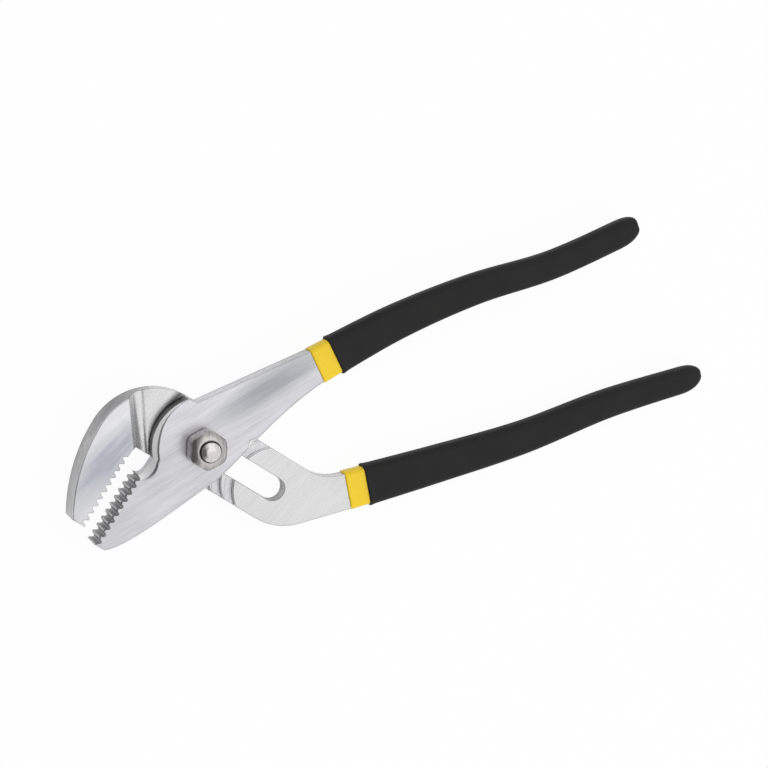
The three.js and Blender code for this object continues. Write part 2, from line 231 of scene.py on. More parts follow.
def slab(name, outline, bottom, top, rounding, *finishes, rough_wall=None, bevel=None):
    """Outline raised from one level to another with its edges rounded.
    rough_wall picks by a point of the outline the walls that get the second finish, a rougher one painted
    darker as shade.
    bevel gives the width of a flat bevel in place of the upper rounding at a point of the outline.
    Where it is wider than the rounding it gets the third finish, up to a thin line at its inner edge."""
    doubled_area = sum(a.cross(b) for a, b in zip(outline, outline[1:] + outline[:1]))
    if doubled_area < 0:
        outline = outline[::-1]
    count = len(outline)
    ways = [(outline[(i + 1) % count] - outline[i]).normalized() for i in range(count)]
    outwards = [flat(w.y, -w.x) for w in ways]
    miters = [(outwards[i - 1] + outwards[i]) / (1 + outwards[i - 1].dot(outwards[i])) for i in range(count)]
    widths = [bevel(p) if bevel else rounding for p in outline]
    bends = [math.pi / 2 * i / EDGE_STEPS for i in range(EDGE_STEPS + 1)] if rounding else [math.pi / 2]
    shares = [(1 - math.sin(a), 1 - math.cos(a)) for a in bends]
    bm = bmesh.new()
    rings = []
    for tuck, rise in shares:
        rings.append([bm.verts.new((*((p - m * rounding * tuck) * MM), (bottom + rounding * rise) * MM))
                      for p, m in zip(outline, miters)])
    upper_shares = shares[::-1]
    if bevel:
        upper_shares = [(i / EDGE_STEPS, 1 - i / EDGE_STEPS) for i in range(EDGE_STEPS + 1)]
    for tuck, rise in upper_shares:
        rings.append([bm.verts.new((*((p - m * w * tuck) * MM), (top - w * rise) * MM))
                      for p, m, w in zip(outline, miters, widths)])
    for level, (lower, upper) in enumerate(zip(rings, rings[1:])):
        for i in range(count):
            j = (i + 1) % count
            face = bm.faces.new((lower[i], lower[j], upper[j], upper[i]))
            face.smooth = True
            if rough_wall and level < len(shares) and rough_wall((outline[i] + outline[j]) / 2):
                face.material_index = 1
            if len(shares) <= level < len(rings) - 2 and max(widths[i], widths[j]) > rounding:
                face.material_index = 2
    bm.faces.new(rings[0][::-1])
    bm.faces.new(rings[-1])
    mesh = bpy.data.meshes.new(name)
    bm.to_mesh(mesh)
    bm.free()
    return new_piece(name, mesh, *finishes)


def ring_sector(inner, outer, spread):
    """Outline of part of a flat ring about the pivot axis, spread evenly about the way to the jaws."""
    middle = SLOT_TURN + math.pi
    outside = arc(flat(0, 0), outer, middle - spread, middle + spread)
    return outside + arc(flat(0, 0), inner, middle + spread, middle - spread)


def ledge_cutter(name, ledge_turn, lap_face, outer_face, finish):
    """Body that clears the lapped plate and leaves a hollow ramp with a fine mill line at its foot."""
    rise = outer_face - lap_face
    side = math.copysign(1, rise)
    profile = [
        flat(CUT_REACH, lap_face),
        flat(MILL_LINE_PLACE + MILL_LINE_HALF, lap_face),
        flat(MILL_LINE_PLACE, lap_face - side * MILL_LINE_DEPTH),
        flat(MILL_LINE_PLACE - MILL_LINE_HALF, lap_face),
    ]
    ramp_foot = len(profile) - 1
    for i in range(1, LEDGE_STEPS + 1):
        share = i / LEDGE_STEPS
        profile.append(flat(-LEDGE_RUN * share, lap_face + rise * share ** LEDGE_STEEPENING))
    ramp_top = len(profile) - 1
    far = outer_face + side * CUT_MARGIN
    profile += [flat(-LEDGE_RUN - LEDGE_RUN_ON, far), flat(CUT_REACH, far)]
    to_jaw = turn(flat(1, 0), SLOT_TURN + ledge_turn)
    sideways = flat(-to_jaw.y, to_jaw.x)
    bm = bmesh.new()
    ends = []
    for reach in (-CUT_REACH, CUT_REACH):
        places = [to_jaw * (LEDGE_RADIUS - p.x) + sideways * reach for p in profile]
        ends.append([bm.verts.new((*(q * MM), p.y * MM)) for p, q in zip(profile, places)])
    count = len(profile)
    for i in range(count):
        j = (i + 1) % count
        face = bm.faces.new((ends[0][i], ends[0][j], ends[1][j], ends[1][i]))
        face.smooth = ramp_foot <= i < ramp_top
    bm.faces.new(ends[0])
    bm.faces.new(ends[1])
    bmesh.ops.recalc_face_normals(bm, faces=bm.faces)
    mesh = bpy.data.meshes.new(name)
    bm.to_mesh(mesh)
    bm.free()
    return new_piece(name, mesh, finish)


def feed(tree, socket, value):
    if isinstance(value, bpy.types.NodeSocket):
        tree.links.new(value, socket)
    else:
        socket.default_value = value


def add(tree, kind, inputs, **settings):
    """New node with its settings, and its inputs linked or set."""
    node = tree.nodes.new(kind)
    for key, value in settings.items():
        setattr(node, key, value)
    for key, value in inputs.items():
        feed(tree, node.inputs[key], value)
    return node


def node_tree(name, inputs):
    tree = bpy.data.node_groups.new(name, "GeometryNodeTree")
    tree.is_modifier = True
    tree.interface.new_socket("Geometry", in_out="INPUT", socket_type="NodeSocketGeometry")
    keys = {}
    for label, kind in inputs.items():
        socket = tree.interface.new_socket(label, in_out="INPUT", socket_type="NodeSocket" + kind)
        keys[label] = socket.identifier
    tree.interface.new_socket("Geometry", in_out="OUTPUT", socket_type="NodeSocketGeometry")
    return tree, keys, tree.nodes.new("NodeGroupInput").outputs, tree.nodes.new("NodeGroupOutput").inputs[0]


def row_of_cuts():
    """Node tree that repeats a cutter along a line and takes the row out of a forging."""
    tree, keys, given, result = node_tree("Row of cuts", {
        "Cutter": "Object", "Count": "Int", "Step": "Vector", "Cut finish": "Material"})
    cutter = add(tree, "GeometryNodeObjectInfo", {"Object": given["Cutter"]})
    places = add(tree, "GeometryNodeMeshLine", {"Count": given["Count"], "Offset": given["Step"]})
    row = add(tree, "GeometryNodeInstanceOnPoints", {
        "Points": places.outputs[0], "Instance": cutter.outputs["Geometry"]})
    solid = add(tree, "GeometryNodeRealizeInstances", {0: row.outputs[0]})
    finished = add(tree, "GeometryNodeSetMaterial", {0: solid.outputs[0], "Material": given["Cut finish"]})
    cut = add(tree, "GeometryNodeMeshBoolean", {
        "Mesh 1": given["Geometry"], "Mesh 2": finished.outputs[0], "Self Intersection": True},
        operation="DIFFERENCE", solver="EXACT")
    tree.links.new(cut.outputs[0], result)
    return tree, keys


def cut_row(piece, cutter, count, step, finish):
    modifier = piece.modifiers.new(cutter.name, "NODES")
    modifier.node_group = cuts_tree
    modifier[cuts_keys["Cutter"]] = cutter
    modifier[cuts_keys["Count"]] = count
    modifier[cuts_keys["Step"]] = (step.x * MM, step.y * MM, 0)
    modifier[cuts_keys["Cut finish"]] = finish


def combine(piece, other, operation):
    modifier = piece.modifiers.new(other.name, "BOOLEAN")
    modifier.object = other
    modifier.operation = operation
    modifier.solver = "EXACT"
    modifier.material_mode = "TRANSFER"


def settle(piece, *helpers):
    """Turns the modified piece into a plain mesh, marks its real edges and clears away its cutters."""
    view = bpy.context.evaluated_depsgraph_get()
    mesh = bpy.data.meshes.new_from_object(piece.evaluated_get(view))
    piece.modifiers.clear()
    piece.data = mesh
    mesh.set_sharp_from_angle(angle=SHARP_ANGLE)
    for helper in helpers:
        bpy.data.objects.remove(helper)


def gullet(line, start, root_side):
    """Outline of the first gap between two teeth, at the tip of a jaw, open past the tooth line."""
    middle = -(start + TEETH_LENGTH) + (TOOTH_FLAT + TOOTH_PITCH) / 2
    mouth = (TOOTH_PITCH - TOOTH_FLAT) / 2
    slope = (mouth - ROOT_FLAT / 2) / TOOTH_DEPTH
    over = mouth + slope * CUT_MARGIN
    half = [
        (-CUT_MARGIN, over),
        (TOOTH_DEPTH - ROOT_FILLET, ROOT_FLAT / 2 + slope * ROOT_FILLET),
        (TOOTH_DEPTH - ROOT_CHAMFER, ROOT_FLAT / 2),
        (TOOTH_DEPTH, ROOT_FLAT / 4),
    ]
    shape = half + [(depth, -width) for depth, width in half[::-1]]
    return [slot_point(line + root_side * depth, middle + width) for depth, width in shape]


def calc(tree, operation, *values):
    return add(tree, "ShaderNodeMath", dict(enumerate(values)), operation=operation).outputs[0]


def mix_colours(tree, share, first, second):
    return add(tree, "ShaderNodeMix", {0: share, 6: first, 7: second}, data_type="RGBA").outputs[2]


def steel(name, bright, dark, brush_turn, roughness, patch_place, patch_size, patch_colour,
          lap_start=1, foot_shade_strength=0.8, metallic=1.0):
    """Metal with fine streaks along its brushing, soft clouds from hand polishing, and one patch of colour
    stretched along the brushing, which on several finishes is a painted reflection, shadow or highlight.
    Painted shade darkens its edges and creases and the lower edge of its side walls.
    From lap_start on along X the lower edge lies at the lap face instead of the back face.
    A metallic share below one gives the metal a duller skin."""
    finish = bpy.data.materials.new(name)
    finish.use_nodes = True
    tree = finish.node_tree
    shader = tree.nodes["Principled BSDF"]
    shader.inputs["Metallic"].default_value = metallic
    place = add(tree, "ShaderNodeTexCoord", {}).outputs["Object"]

    def patch(size, centre=(0, 0, 0)):
        return add(tree, "ShaderNodeMapping", {
            "Vector": place, "Location": centre, "Rotation": (0, 0, brush_turn), "Scale": size},
            vector_type="TEXTURE").outputs[0]

    def noise(size, detail):
        return add(tree, "ShaderNodeTexNoise", {
            "Vector": patch(size), "Scale": 1.0, "Detail": detail, "Roughness": 0.6}).outputs[0]

    hairlines = noise(HAIRLINE_SIZE, 4.0)
    streaks = noise(STREAK_SIZE, 3.0)
    clouds = noise(CLOUD_SIZE, 2.0)
    shade = add(tree, "ShaderNodeMix", {0: STREAK_SHARE, 2: clouds, 3: streaks}).outputs[0]
    shade = add(tree, "ShaderNodeMix", {0: HAIRLINE_SHARE, 2: shade, 3: hairlines}).outputs[0]
    spread = add(tree, "ShaderNodeMapRange", {"Value": shade, "From Min": 0.40, "From Max": 0.60}).outputs[0]
    polish = mix_colours(tree, spread, (*dark, 1), (*bright, 1))
    # A round patch of colour stretched along the brushing; on several finishes it is a painted reflection,
    # shadow or highlight.
    in_patch = add(tree, "ShaderNodeTexGradient", {
        "Vector": patch(patch_size, patch_place)}, gradient_type="SPHERICAL").outputs["Fac"]
    in_patch = calc(tree, "MULTIPLY", in_patch, calc(tree, "MULTIPLY", streaks, PATCH_STREAKS))
    in_patch = add(tree, "ShaderNodeClamp", {0: in_patch}).outputs[0]
    patched = mix_colours(tree, in_patch, polish, (*patch_colour, 1))
    # Painted shade: side walls darken towards their lower edge, at the back face or, past lap_start, at the
    # lap face.
    spot = add(tree, "ShaderNodeSeparateXYZ", {0: place}).outputs
    past_lap = calc(tree, "GREATER_THAN", spot["X"], lap_start)
    lap_rise = calc(tree, "MULTIPLY", past_lap, (FRONT_LAP_FACE - BACK_FACE) * MM)
    above_edge = calc(tree, "SUBTRACT", calc(tree, "SUBTRACT", spot["Z"], BACK_FACE * MM), lap_rise)
    low = add(tree, "ShaderNodeMapRange", {
        "Value": above_edge, "From Min": FOOT_SHADE_TOP * MM, "From Max": FOOT_SHADE_FULL * MM,
        "To Max": foot_shade_strength}).outputs[0]
    facing = add(tree, "ShaderNodeNewGeometry", {}).outputs["True Normal"]
    levelness = calc(tree, "ABSOLUTE", add(tree, "ShaderNodeSeparateXYZ", {0: facing}).outputs["Z"])
    painted_shade = calc(tree, "MULTIPLY", low, calc(tree, "LESS_THAN", levelness, MOST_LEVEL_WALL))
    # Painted shade: edges and creases darken where the rounded normal bends away from the true one.
    worn = add(tree, "ShaderNodeBevel", {"Radius": EDGE_WEAR * MM}, samples=6).outputs[0]
    bend = add(tree, "ShaderNodeVectorMath", {0: worn, 1: facing}, operation="DOT_PRODUCT").outputs["Value"]
    edge_shade = add(tree, "ShaderNodeMapRange", {
        "Value": bend, "From Min": 0.98, "From Max": 0.80, "To Max": EDGE_SHADE}).outputs[0]
    painted_shade = calc(tree, "MAXIMUM", painted_shade, edge_shade)
    colour = mix_colours(tree, painted_shade, patched, (*PAINTED_SHADE_COLOUR, 1))
    tree.links.new(colour, shader.inputs["Base Color"])
    gloss = add(tree, "ShaderNodeMapRange", {
        "Value": shade, "From Min": 0.3, "From Max": 0.7,
        "To Min": roughness + 0.08, "To Max": roughness - 0.06}).outputs[0]
    tree.links.new(gloss, shader.inputs["Roughness"])
    wavy = add(tree, "ShaderNodeBump", {
        "Strength": 0.12, "Distance": 0.002, "Height": clouds, "Normal": worn})
    scratched = add(tree, "ShaderNodeBump", {
        "Strength": 0.22, "Distance": 0.0001, "Height": hairlines, "Normal": wavy.outputs[0]})
    tree.links.new(scratched.outputs[0], shader.inputs["Normal"])
    return finish


# Its colour patch is a painted reflection: a dark bluish band across the rear jaw's face.
rear_steel = steel("Rear lever brushed steel", (0.83, 0.83, 0.84), (0.70, 0.70, 0.72), math.radians(29), 0.30,
                   (-0.0340, 0.0068, 0.014), (0.024, 0.0085, 0.01), (0.47, 0.49, 0.55))
# Its colour patch is a painted shadow on the lapped plate beside the top of the front lever's head.
lap_steel = steel("Ground lap face steel", (0.82, 0.82, 0.82), (0.71, 0.71, 0.72), math.radians(29), 0.26,
                  (-0.0042, 0.0178, 0.009), (0.014, 0.0023, 0.01), (0.22, 0.22, 0.22), metallic=0.75)
# Darker than the ground faces as painted shade on the jaw's outer wall; its higher roughness is the forged
# skin's own.
forged_shaded_steel = steel("Forged wall steel with painted shade", (0.62, 0.62, 0.62), (0.42, 0.42, 0.43), math.radians(60), 0.40,
                     (-0.025, 0.028, 0.008), (0.018, 0.012, 0.02), (0.30, 0.30, 0.31))
# Darker than the ground faces as painted shade in the slot, the hole and the gaps between teeth; its higher
# roughness is the milled skin's own.
milled_shaded_steel = steel("Milled steel with painted shade", (0.56, 0.56, 0.56), (0.38, 0.38, 0.39), math.radians(40), 0.42,
                     (0, 0, 0), (0.03, 0.03, 0.03), (0.42, 0.42, 0.42), foot_shade_strength=0)
cuts_tree, cuts_keys = row_of_cuts()
rear_spine = handle_spine(REAR_HANDLE_LENGTH, REAR_HANDLE_OFFSETS)
rear_lever = slab("rear_lever_forging", rear_outline(), BACK_FACE, FRONT_FACE, EDGE_ROUNDING,
                  rear_steel, forged_shaded_steel, rough_wall=on_jaw_back)
ledge = ledge_cutter("rear_ledge_cutter", REAR_LEDGE_TURN, REAR_LAP_FACE, FRONT_FACE, lap_steel)
combine(rear_lever, ledge, "DIFFERENCE")
slot_outline = arc(flat(SLOT_TRAVEL, 0), SLOT_RADIUS, -math.pi / 2, math.pi / 2)
slot_outline += arc(flat(0, 0), SLOT_RADIUS, math.pi / 2, math.pi * 1.5)
slot_cutter = slab("slot_cutter", [slot_point(p.x, p.y) for p in slot_outline],
                   BACK_FACE - CUT_MARGIN, FRONT_FACE + CUT_MARGIN, 0, milled_shaded_steel)
combine(rear_lever, slot_cutter, "DIFFERENCE")
groove_cutter = slab("groove_cutter", ring_sector(GROOVE_INNER, GROOVE_OUTER, GROOVE_SPREAD),
                     REAR_LAP_FACE - GROOVE_DEPTH, REAR_LAP_FACE + CUT_MARGIN, 0)
cut_row(rear_lever, groove_cutter, GROOVE_COUNT, slot_point(GROOVE_PITCH, 0), rear_steel)
rear_gullet = slab("rear_gullet_cutter", gullet(REAR_TOOTH_LINE, REAR_TEETH_START, -1),
                   BACK_FACE - CUT_MARGIN, FRONT_FACE + CUT_MARGIN, 0)
cut_row(rear_lever, rear_gullet, TOOTH_COUNT, slot_point(0, TOOTH_PITCH), milled_shaded_steel)
settle(rear_lever, ledge, slot_cutter, groove_cutter, rear_gullet)
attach(rear_lever, "rear_half")
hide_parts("rear_lever")


# Dips of the rear handle: vinyl that the tang is dipped in twice, first yellow and then black.
# The yellow coat shows as a collar in front of the black one, whose edge dries as a soft raised lip.
# Both are bonded to the steel and follow the tang to its rounded tail.
COAT_CLEARANCE = 0.05
UNDERDIP_THICKNESS = 0.6
OVERDIP_THICKNESS = 0.6
COLLAR_LENGTH = 7.5
LIP_RISE = 0.22
LIP_FADE = 3.5
UNDERDIP_CORNER = 2.0
OVERDIP_CORNER = 3.0
LEAST_CORNER = 0.3
CORNER_STEPS = 6
INNER_STEPS = 30
OUTER_STEPS = 40
LIP_STEPS = 6
NOSE_STEPS = 12
NOSE_EASE = 0.6
NOSE_TAPER = 5
NOSE_FULLNESS = 2.5
NOSE_LEAN = 1.0
CLOUD_SCALE = 90.0
GRAIN_SCALE = 1100.0


def sleeve_rings(start, end, nose, wall, lip):
    """Rings of a closed sleeve from the inner pole at the tail, out round the front edge, to the outer pole.
    Each ring is distance along the spine, how far it lies inside the outer face, shares of width and height,
    and how far it leans to the upper side."""
    body_end = end - NOSE_TAPER

    def tail(inside):
        rings = []
        for i in range(1, NOSE_STEPS + 1):
            ahead = (i / NOSE_STEPS) ** NOSE_EASE
            share = (1 - ahead ** NOSE_FULLNESS) ** (1 / NOSE_FULLNESS)
            reach = body_end + (NOSE_TAPER + nose - inside) * ahead
            rings.append((reach, inside, share, math.sqrt(share), NOSE_LEAN * ahead ** 2))
        return rings

    inner = [(start + (body_end - start) * i / INNER_STEPS, wall, 1, 1, 0) for i in range(INNER_STEPS + 1)]
    inner += tail(wall)
    edge = []
    for i in range(LIP_STEPS + 1):
        angle = math.pi / 2 * i / LIP_STEPS
        edge.append((start + wall * (1 - math.cos(angle)), wall - (wall + lip) * math.sin(angle), 1, 1, 0))
    outer = []
    for i in range(1, LIP_STEPS + 1):
        share = i / LIP_STEPS
        outer.append((start + wall + LIP_FADE * share, -lip * (1 - share) ** 2, 1, 1, 0))
    body = start + wall + LIP_FADE
    outer += [(body + (body_end - body) * i / OUTER_STEPS, 0, 1, 1, 0) for i in range(1, OUTER_STEPS + 1)]
    outer += tail(0)
    return inner[::-1] + edge + outer


def sleeve_mesh(name, rings):
    """Mesh of the sleeve whose points carry what the sweep needs to place them."""
    corners = []
    for x, y, first in ((1, 1, 0), (-1, 1, 1), (-1, -1, 2), (1, -1, 3)):
        for i in range(CORNER_STEPS + 1):
            angle = math.pi / 2 * (first + i / CORNER_STEPS)
            corners.append((x, y, math.cos(angle), math.sin(angle)))
    bm = bmesh.new()
    labels = ("along", "inside", "wide", "high", "lean", "side_x", "side_z", "bend_x", "bend_z")
    layers = [bm.verts.layers.float.new(label) for label in labels]

    def vertex(values):
        vert = bm.verts.new((0, 0, 0))
        for layer, value in zip(layers, values):
            vert[layer] = value
        return vert

    poles = [vertex((*ring, 0, 0, 0, 0)) for ring in (rings[0], rings[-1])]
    loops = [[vertex((*ring, *corner)) for corner in corners] for ring in rings[1:-1]]
    count = len(corners)
    for near, far in zip(loops, loops[1:]):
        for i in range(count):
            bm.faces.new((near[i], near[i - 1], far[i - 1], far[i])).smooth = True
    for i in range(count):
        bm.faces.new((poles[0], loops[0][i - 1], loops[0][i])).smooth = True
        bm.faces.new((poles[1], loops[-1][i], loops[-1][i - 1])).smooth = True
    mesh = bpy.data.meshes.new(name)
    bm.to_mesh(mesh)
    bm.free()
    return mesh


def dip_sweep():
    """Node tree that lays a sleeve's rings round the tapering tang along the handle's centre line."""
    tree, keys, given, result = node_tree("Dip along a tang", {
        "Spine": "Object", "Spine length": "Float", "Middle height": "Float", "Tang width": "Float",
        "Tail width": "Float", "Taper ease": "Float", "Tang thickness": "Float", "Coat": "Float",
        "Corner radius": "Float", "Finish": "Material"})

    def read(label):
        return add(tree, "GeometryNodeInputNamedAttribute", {"Name": label}, data_type="FLOAT").outputs[0]

    spine = add(tree, "GeometryNodeObjectInfo", {"Object": given["Spine"]}).outputs["Geometry"]
    along = read("along")
    at = add(tree, "GeometryNodeSampleCurve", {"Curves": spine, "Length": along}, mode="LENGTH")
    share = calc(tree, "MINIMUM", calc(tree, "DIVIDE", along, given["Spine length"]), 1.0)
    taper = calc(tree, "POWER", calc(tree, "SUBTRACT", 1.0, share), given["Taper ease"])
    widening = calc(tree, "SUBTRACT", given["Tang width"], given["Tail width"])
    tang = calc(tree, "MULTIPLY_ADD", widening, taper, given["Tail width"])
    coat = calc(tree, "SUBTRACT", given["Coat"], read("inside"))
    inner_radius = calc(tree, "SUBTRACT", given["Corner radius"], read("inside"))
    radius = calc(tree, "MAXIMUM", inner_radius, LEAST_CORNER * MM)
    half_wide = calc(tree, "SUBTRACT", calc(tree, "MULTIPLY_ADD", tang, 0.5, coat), radius)
    half_high = calc(tree, "SUBTRACT", calc(tree, "MULTIPLY_ADD", given["Tang thickness"], 0.5, coat), radius)
    corner_x = calc(tree, "MULTIPLY", read("side_x"), half_wide)
    corner_z = calc(tree, "MULTIPLY", read("side_z"), half_high)
    sideways = calc(tree, "MULTIPLY_ADD", read("bend_x"), radius, corner_x)
    upwards = calc(tree, "MULTIPLY_ADD", read("bend_z"), radius, corner_z)
    sideways = calc(tree, "MULTIPLY_ADD", sideways, read("wide"), read("lean"))
    upwards = calc(tree, "MULTIPLY_ADD", upwards, read("high"), given["Middle height"])
    way = add(tree, "ShaderNodeSeparateXYZ", {0: at.outputs["Tangent"]}).outputs
    shift = add(tree, "ShaderNodeCombineXYZ", {
        "X": calc(tree, "MULTIPLY", calc(tree, "MULTIPLY", way["Y"], -1.0), sideways),
        "Y": calc(tree, "MULTIPLY", way["X"], sideways),
        "Z": upwards})
    place = add(tree, "ShaderNodeVectorMath", {
        0: at.outputs["Position"], 1: shift.outputs[0]}, operation="ADD")
    laid = add(tree, "GeometryNodeSetPosition", {
        "Geometry": given["Geometry"], "Position": place.outputs[0]})
    solid = add(tree, "GeometryNodeRealizeInstances", {0: laid.outputs[0]})
    finished = add(tree, "GeometryNodeSetMaterial", {0: solid.outputs[0], "Material": given["Finish"]})
    tree.links.new(finished.outputs[0], result)
    return tree, keys


def dip(name, line, bottom, tang_width, taper_ease, start, wall, coat, corner, lip, finish):
    """One coat of a handle, swept along its spine from a distance behind the collar's front."""
    total = spine_length(line)
    end, way = walk(line, total)
    path = bpy.data.curves.new(name + "_path", "CURVE")
    path.dimensions = "3D"
    spline = path.splines.new("POLY")
    points = line + [end + way * (TAIL_NOSE + coat)]
    spline.points.add(len(points) - 1)
    for place, p in zip(spline.points, points):
        place.co = (p.x * MM, p.y * MM, 0, 1)
    spine = bpy.data.objects.new(name + "_path", path)
    bpy.context.scene.collection.objects.link(spine)
    rings = sleeve_rings(start, total, TAIL_NOSE + coat, wall, lip)
    rings = [(along * MM, inside * MM, wide, high, lean * MM) for along, inside, wide, high, lean in rings]
    piece = new_piece(name, sleeve_mesh(name, rings))
    modifier = piece.modifiers.new("Dip along a tang", "NODES")
    modifier.node_group = sweep_tree
    thickness = FRONT_FACE - FRONT_LAP_FACE
    settings = {
        "Spine": spine, "Spine length": total * MM, "Middle height": (bottom + thickness / 2) * MM,
        "Tang width": tang_width * MM, "Tail width": TAIL_WIDTH * MM, "Taper ease": taper_ease,
        "Tang thickness": thickness * MM, "Coat": coat * MM, "Corner radius": corner * MM,
        "Finish": finish}
    for label, value in settings.items():
        modifier[sweep_keys[label]] = value
    settle(piece, spine)
    return piece


def vinyl(name, colour, shade, roughness, specular, dimple):
    """Dipped vinyl: a soft, slightly uneven skin with faint clouds in its colour."""
    finish = bpy.data.materials.new(name)
    finish.use_nodes = True
    tree = finish.node_tree
    shader = tree.nodes["Principled BSDF"]
    shader.inputs["Specular IOR Level"].default_value = specular
    place = add(tree, "ShaderNodeTexCoord", {}).outputs["Object"]
    clouds = add(tree, "ShaderNodeTexNoise", {
        "Vector": place, "Scale": CLOUD_SCALE, "Detail": 3.0}).outputs[0]
    grain = add(tree, "ShaderNodeTexNoise", {
        "Vector": place, "Scale": GRAIN_SCALE, "Detail": 2.0}).outputs[0]
    mixed = mix_colours(tree, clouds, (*shade, 1), (*colour, 1))
    tree.links.new(mixed, shader.inputs["Base Color"])
    gloss = add(tree, "ShaderNodeMapRange", {
        "Value": clouds, "From Min": 0.3, "From Max": 0.7,
        "To Min": roughness - 0.05, "To Max": roughness + 0.07}).outputs[0]
    tree.links.new(gloss, shader.inputs["Roughness"])
    sagging = add(tree, "ShaderNodeBump", {"Strength": 0.12, "Distance": 0.0006, "Height": clouds})
    skin = add(tree, "ShaderNodeBump", {
        "Strength": dimple, "Distance": 0.00006, "Height": grain, "Normal": sagging.outputs[0]})
    tree.links.new(skin.outputs[0], shader.inputs["Normal"])
    return finish


yellow_vinyl = vinyl("Yellow dipped vinyl", (0.96, 0.69, 0.020), (0.92, 0.63, 0.014), 0.36, 0.35, 0.15)
black_vinyl = vinyl("Black dipped vinyl", (0.025, 0.025, 0.0245), (0.016, 0.016, 0.016), 0.50, 0.12, 0.30)
sweep_tree, sweep_keys = dip_sweep()
yellow_coat = COAT_CLEARANCE + UNDERDIP_THICKNESS
black_coat = yellow_coat + COAT_CLEARANCE + OVERDIP_THICKNESS
rear_yellow = dip("rear_yellow_dip", rear_spine, BACK_FACE, REAR_TANG_WIDTH, REAR_TAPER_EASE,
                  0, UNDERDIP_THICKNESS, yellow_coat, UNDERDIP_CORNER, 0, yellow_vinyl)
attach(rear_yellow, "rear_half")
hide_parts("rear_yellow_underdip")
rear_black = dip("rear_black_dip", rear_spine, BACK_FACE, REAR_TANG_WIDTH, REAR_TAPER_EASE,
                 COLLAR_LENGTH, OVERDIP_THICKNESS, black_coat, OVERDIP_CORNER, LIP_RISE, black_vinyl)
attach(rear_black, "rear_half")
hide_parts("rear_black_grip")


# Pivot bolt: a plated steel bolt with a low round head on the back of the tool.
# It slides in the rear lever's slot and carries the front lever, and its chamfered end stands out of the nut.
# The rounded edge of the head is given as how far each point lies in from the rim, and its height.
BOLT_RADIUS = 4
BOLT_HEAD_RADIUS = 7.5
BOLT_HEAD_HEIGHT = 3
BOLT_HEAD_EDGE = ((1.1, 0), (0.5, 0.12), (0.15, 0.45), (0, 0.9))
BOLT_HEAD_BREAK = 0.25
BOLT_TOP = 24.2
BOLT_END_RADIUS = 1.9
BOLT_END_RISE = 1.0
BOLT_END_BREAK = (0.15, 0.08)
THREAD_ROOT = 3.45
THREAD_RIDGE = 0.52
THREAD_PITCH = 1.25
THREAD_START = 9
THREAD_RUNOUT = 0.5
THREAD_END = 21.2
THREAD_STEPS = 40
RIDGE_SIDES = 6
TURNED_SIDES = 96


def turned_piece(name, profile, finish):
    """Solid of revolution about the pivot axis, from radius and height along its profile."""
    bm = bmesh.new()
    rings = []
    for radius, level in profile:
        if radius == 0:
            rings.append([bm.verts.new((0, 0, level * MM))] * TURNED_SIDES)
            continue
        angles = [2 * math.pi * i / TURNED_SIDES for i in range(TURNED_SIDES)]
        rings.append([bm.verts.new((radius * math.cos(a) * MM, radius * math.sin(a) * MM, level * MM))
                      for a in angles])
    for lower, upper in zip(rings, rings[1:]):
        for i in range(TURNED_SIDES):
            corners = dict.fromkeys((lower[i - 1], lower[i], upper[i], upper[i - 1]))
            bm.faces.new(tuple(corners)).smooth = True
    mesh = bpy.data.meshes.new(name)
    bm.to_mesh(mesh)
    bm.free()
    mesh.set_sharp_from_angle(angle=SHARP_ANGLE)
    return new_piece(name, mesh, finish)


def screw_thread():
    """Node tree that winds a thread's ridge round a bolt and joins it on."""
    tree, keys, given, result = node_tree("Screw thread", {
        "Turns": "Float", "Root radius": "Float", "Ridge": "Float", "Start": "Float", "Height": "Float",
        "Finish": "Material"})
    helix = add(tree, "GeometryNodeCurveSpiral", {
        "Resolution": THREAD_STEPS, "Rotations": given["Turns"], "Start Radius": given["Root radius"],
        "End Radius": given["Root radius"], "Height": given["Height"]})
    ridge = add(tree, "GeometryNodeCurvePrimitiveCircle", {
        "Resolution": RIDGE_SIDES, "Radius": given["Ridge"]})
    wound = add(tree, "GeometryNodeCurveToMesh", {
        "Curve": helix.outputs[0], "Profile Curve": ridge.outputs[0], "Fill Caps": True})
    rise = add(tree, "ShaderNodeCombineXYZ", {"Z": given["Start"]})
    lifted = add(tree, "GeometryNodeTransform", {
        "Geometry": wound.outputs[0], "Translation": rise.outputs[0]})
    smooth = add(tree, "GeometryNodeSetShadeSmooth", {"Geometry": lifted.outputs[0]})
    both = add(tree, "GeometryNodeJoinGeometry", {})
    tree.links.new(smooth.outputs[0], both.inputs[0])
    tree.links.new(given["Geometry"], both.inputs[0])
    solid = add(tree, "GeometryNodeRealizeInstances", {0: both.outputs[0]})
    finished = add(tree, "GeometryNodeSetMaterial", {0: solid.outputs[0], "Material": given["Finish"]})
    tree.links.new(finished.outputs[0], result)
    return tree, keys


